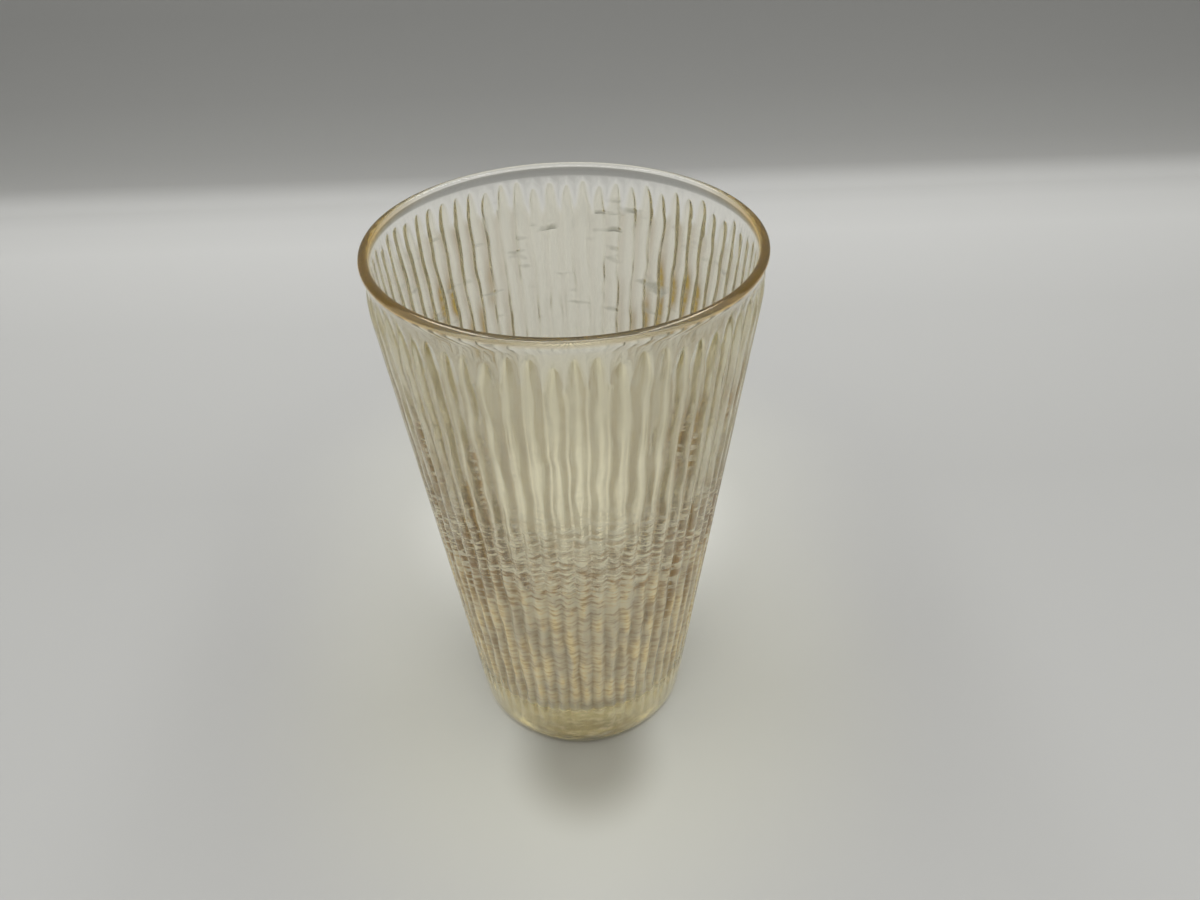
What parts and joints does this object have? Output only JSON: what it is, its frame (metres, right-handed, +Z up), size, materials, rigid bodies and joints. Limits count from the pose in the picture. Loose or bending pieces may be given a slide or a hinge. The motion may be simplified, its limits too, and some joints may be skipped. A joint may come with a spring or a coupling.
{
  "type": "drinking glass",
  "caption": "Tall tapered tumbler of pale straw pressed glass: bark-like upright ribs ending in finger tips under a plain rounded rim, and a thick solid base.",
  "frame": {"origin": "centre of the base, in the plane of the ring that the glass stands on", "axes": "+Z up along the axis of the glass, towards the mouth; X and Y level, and any turn about Z will do"},
  "size_m": [0.082, 0.082, 0.133],
  "materials": {
    "straw_glass": "clear pale straw pressed glass with a light warm lustre, fire polished"
  },
  "bodies": {
    "root": {"base": "straw_glass", "bark_wall": "straw_glass", "lip": "straw_glass"}
  },
  "joints": []
}
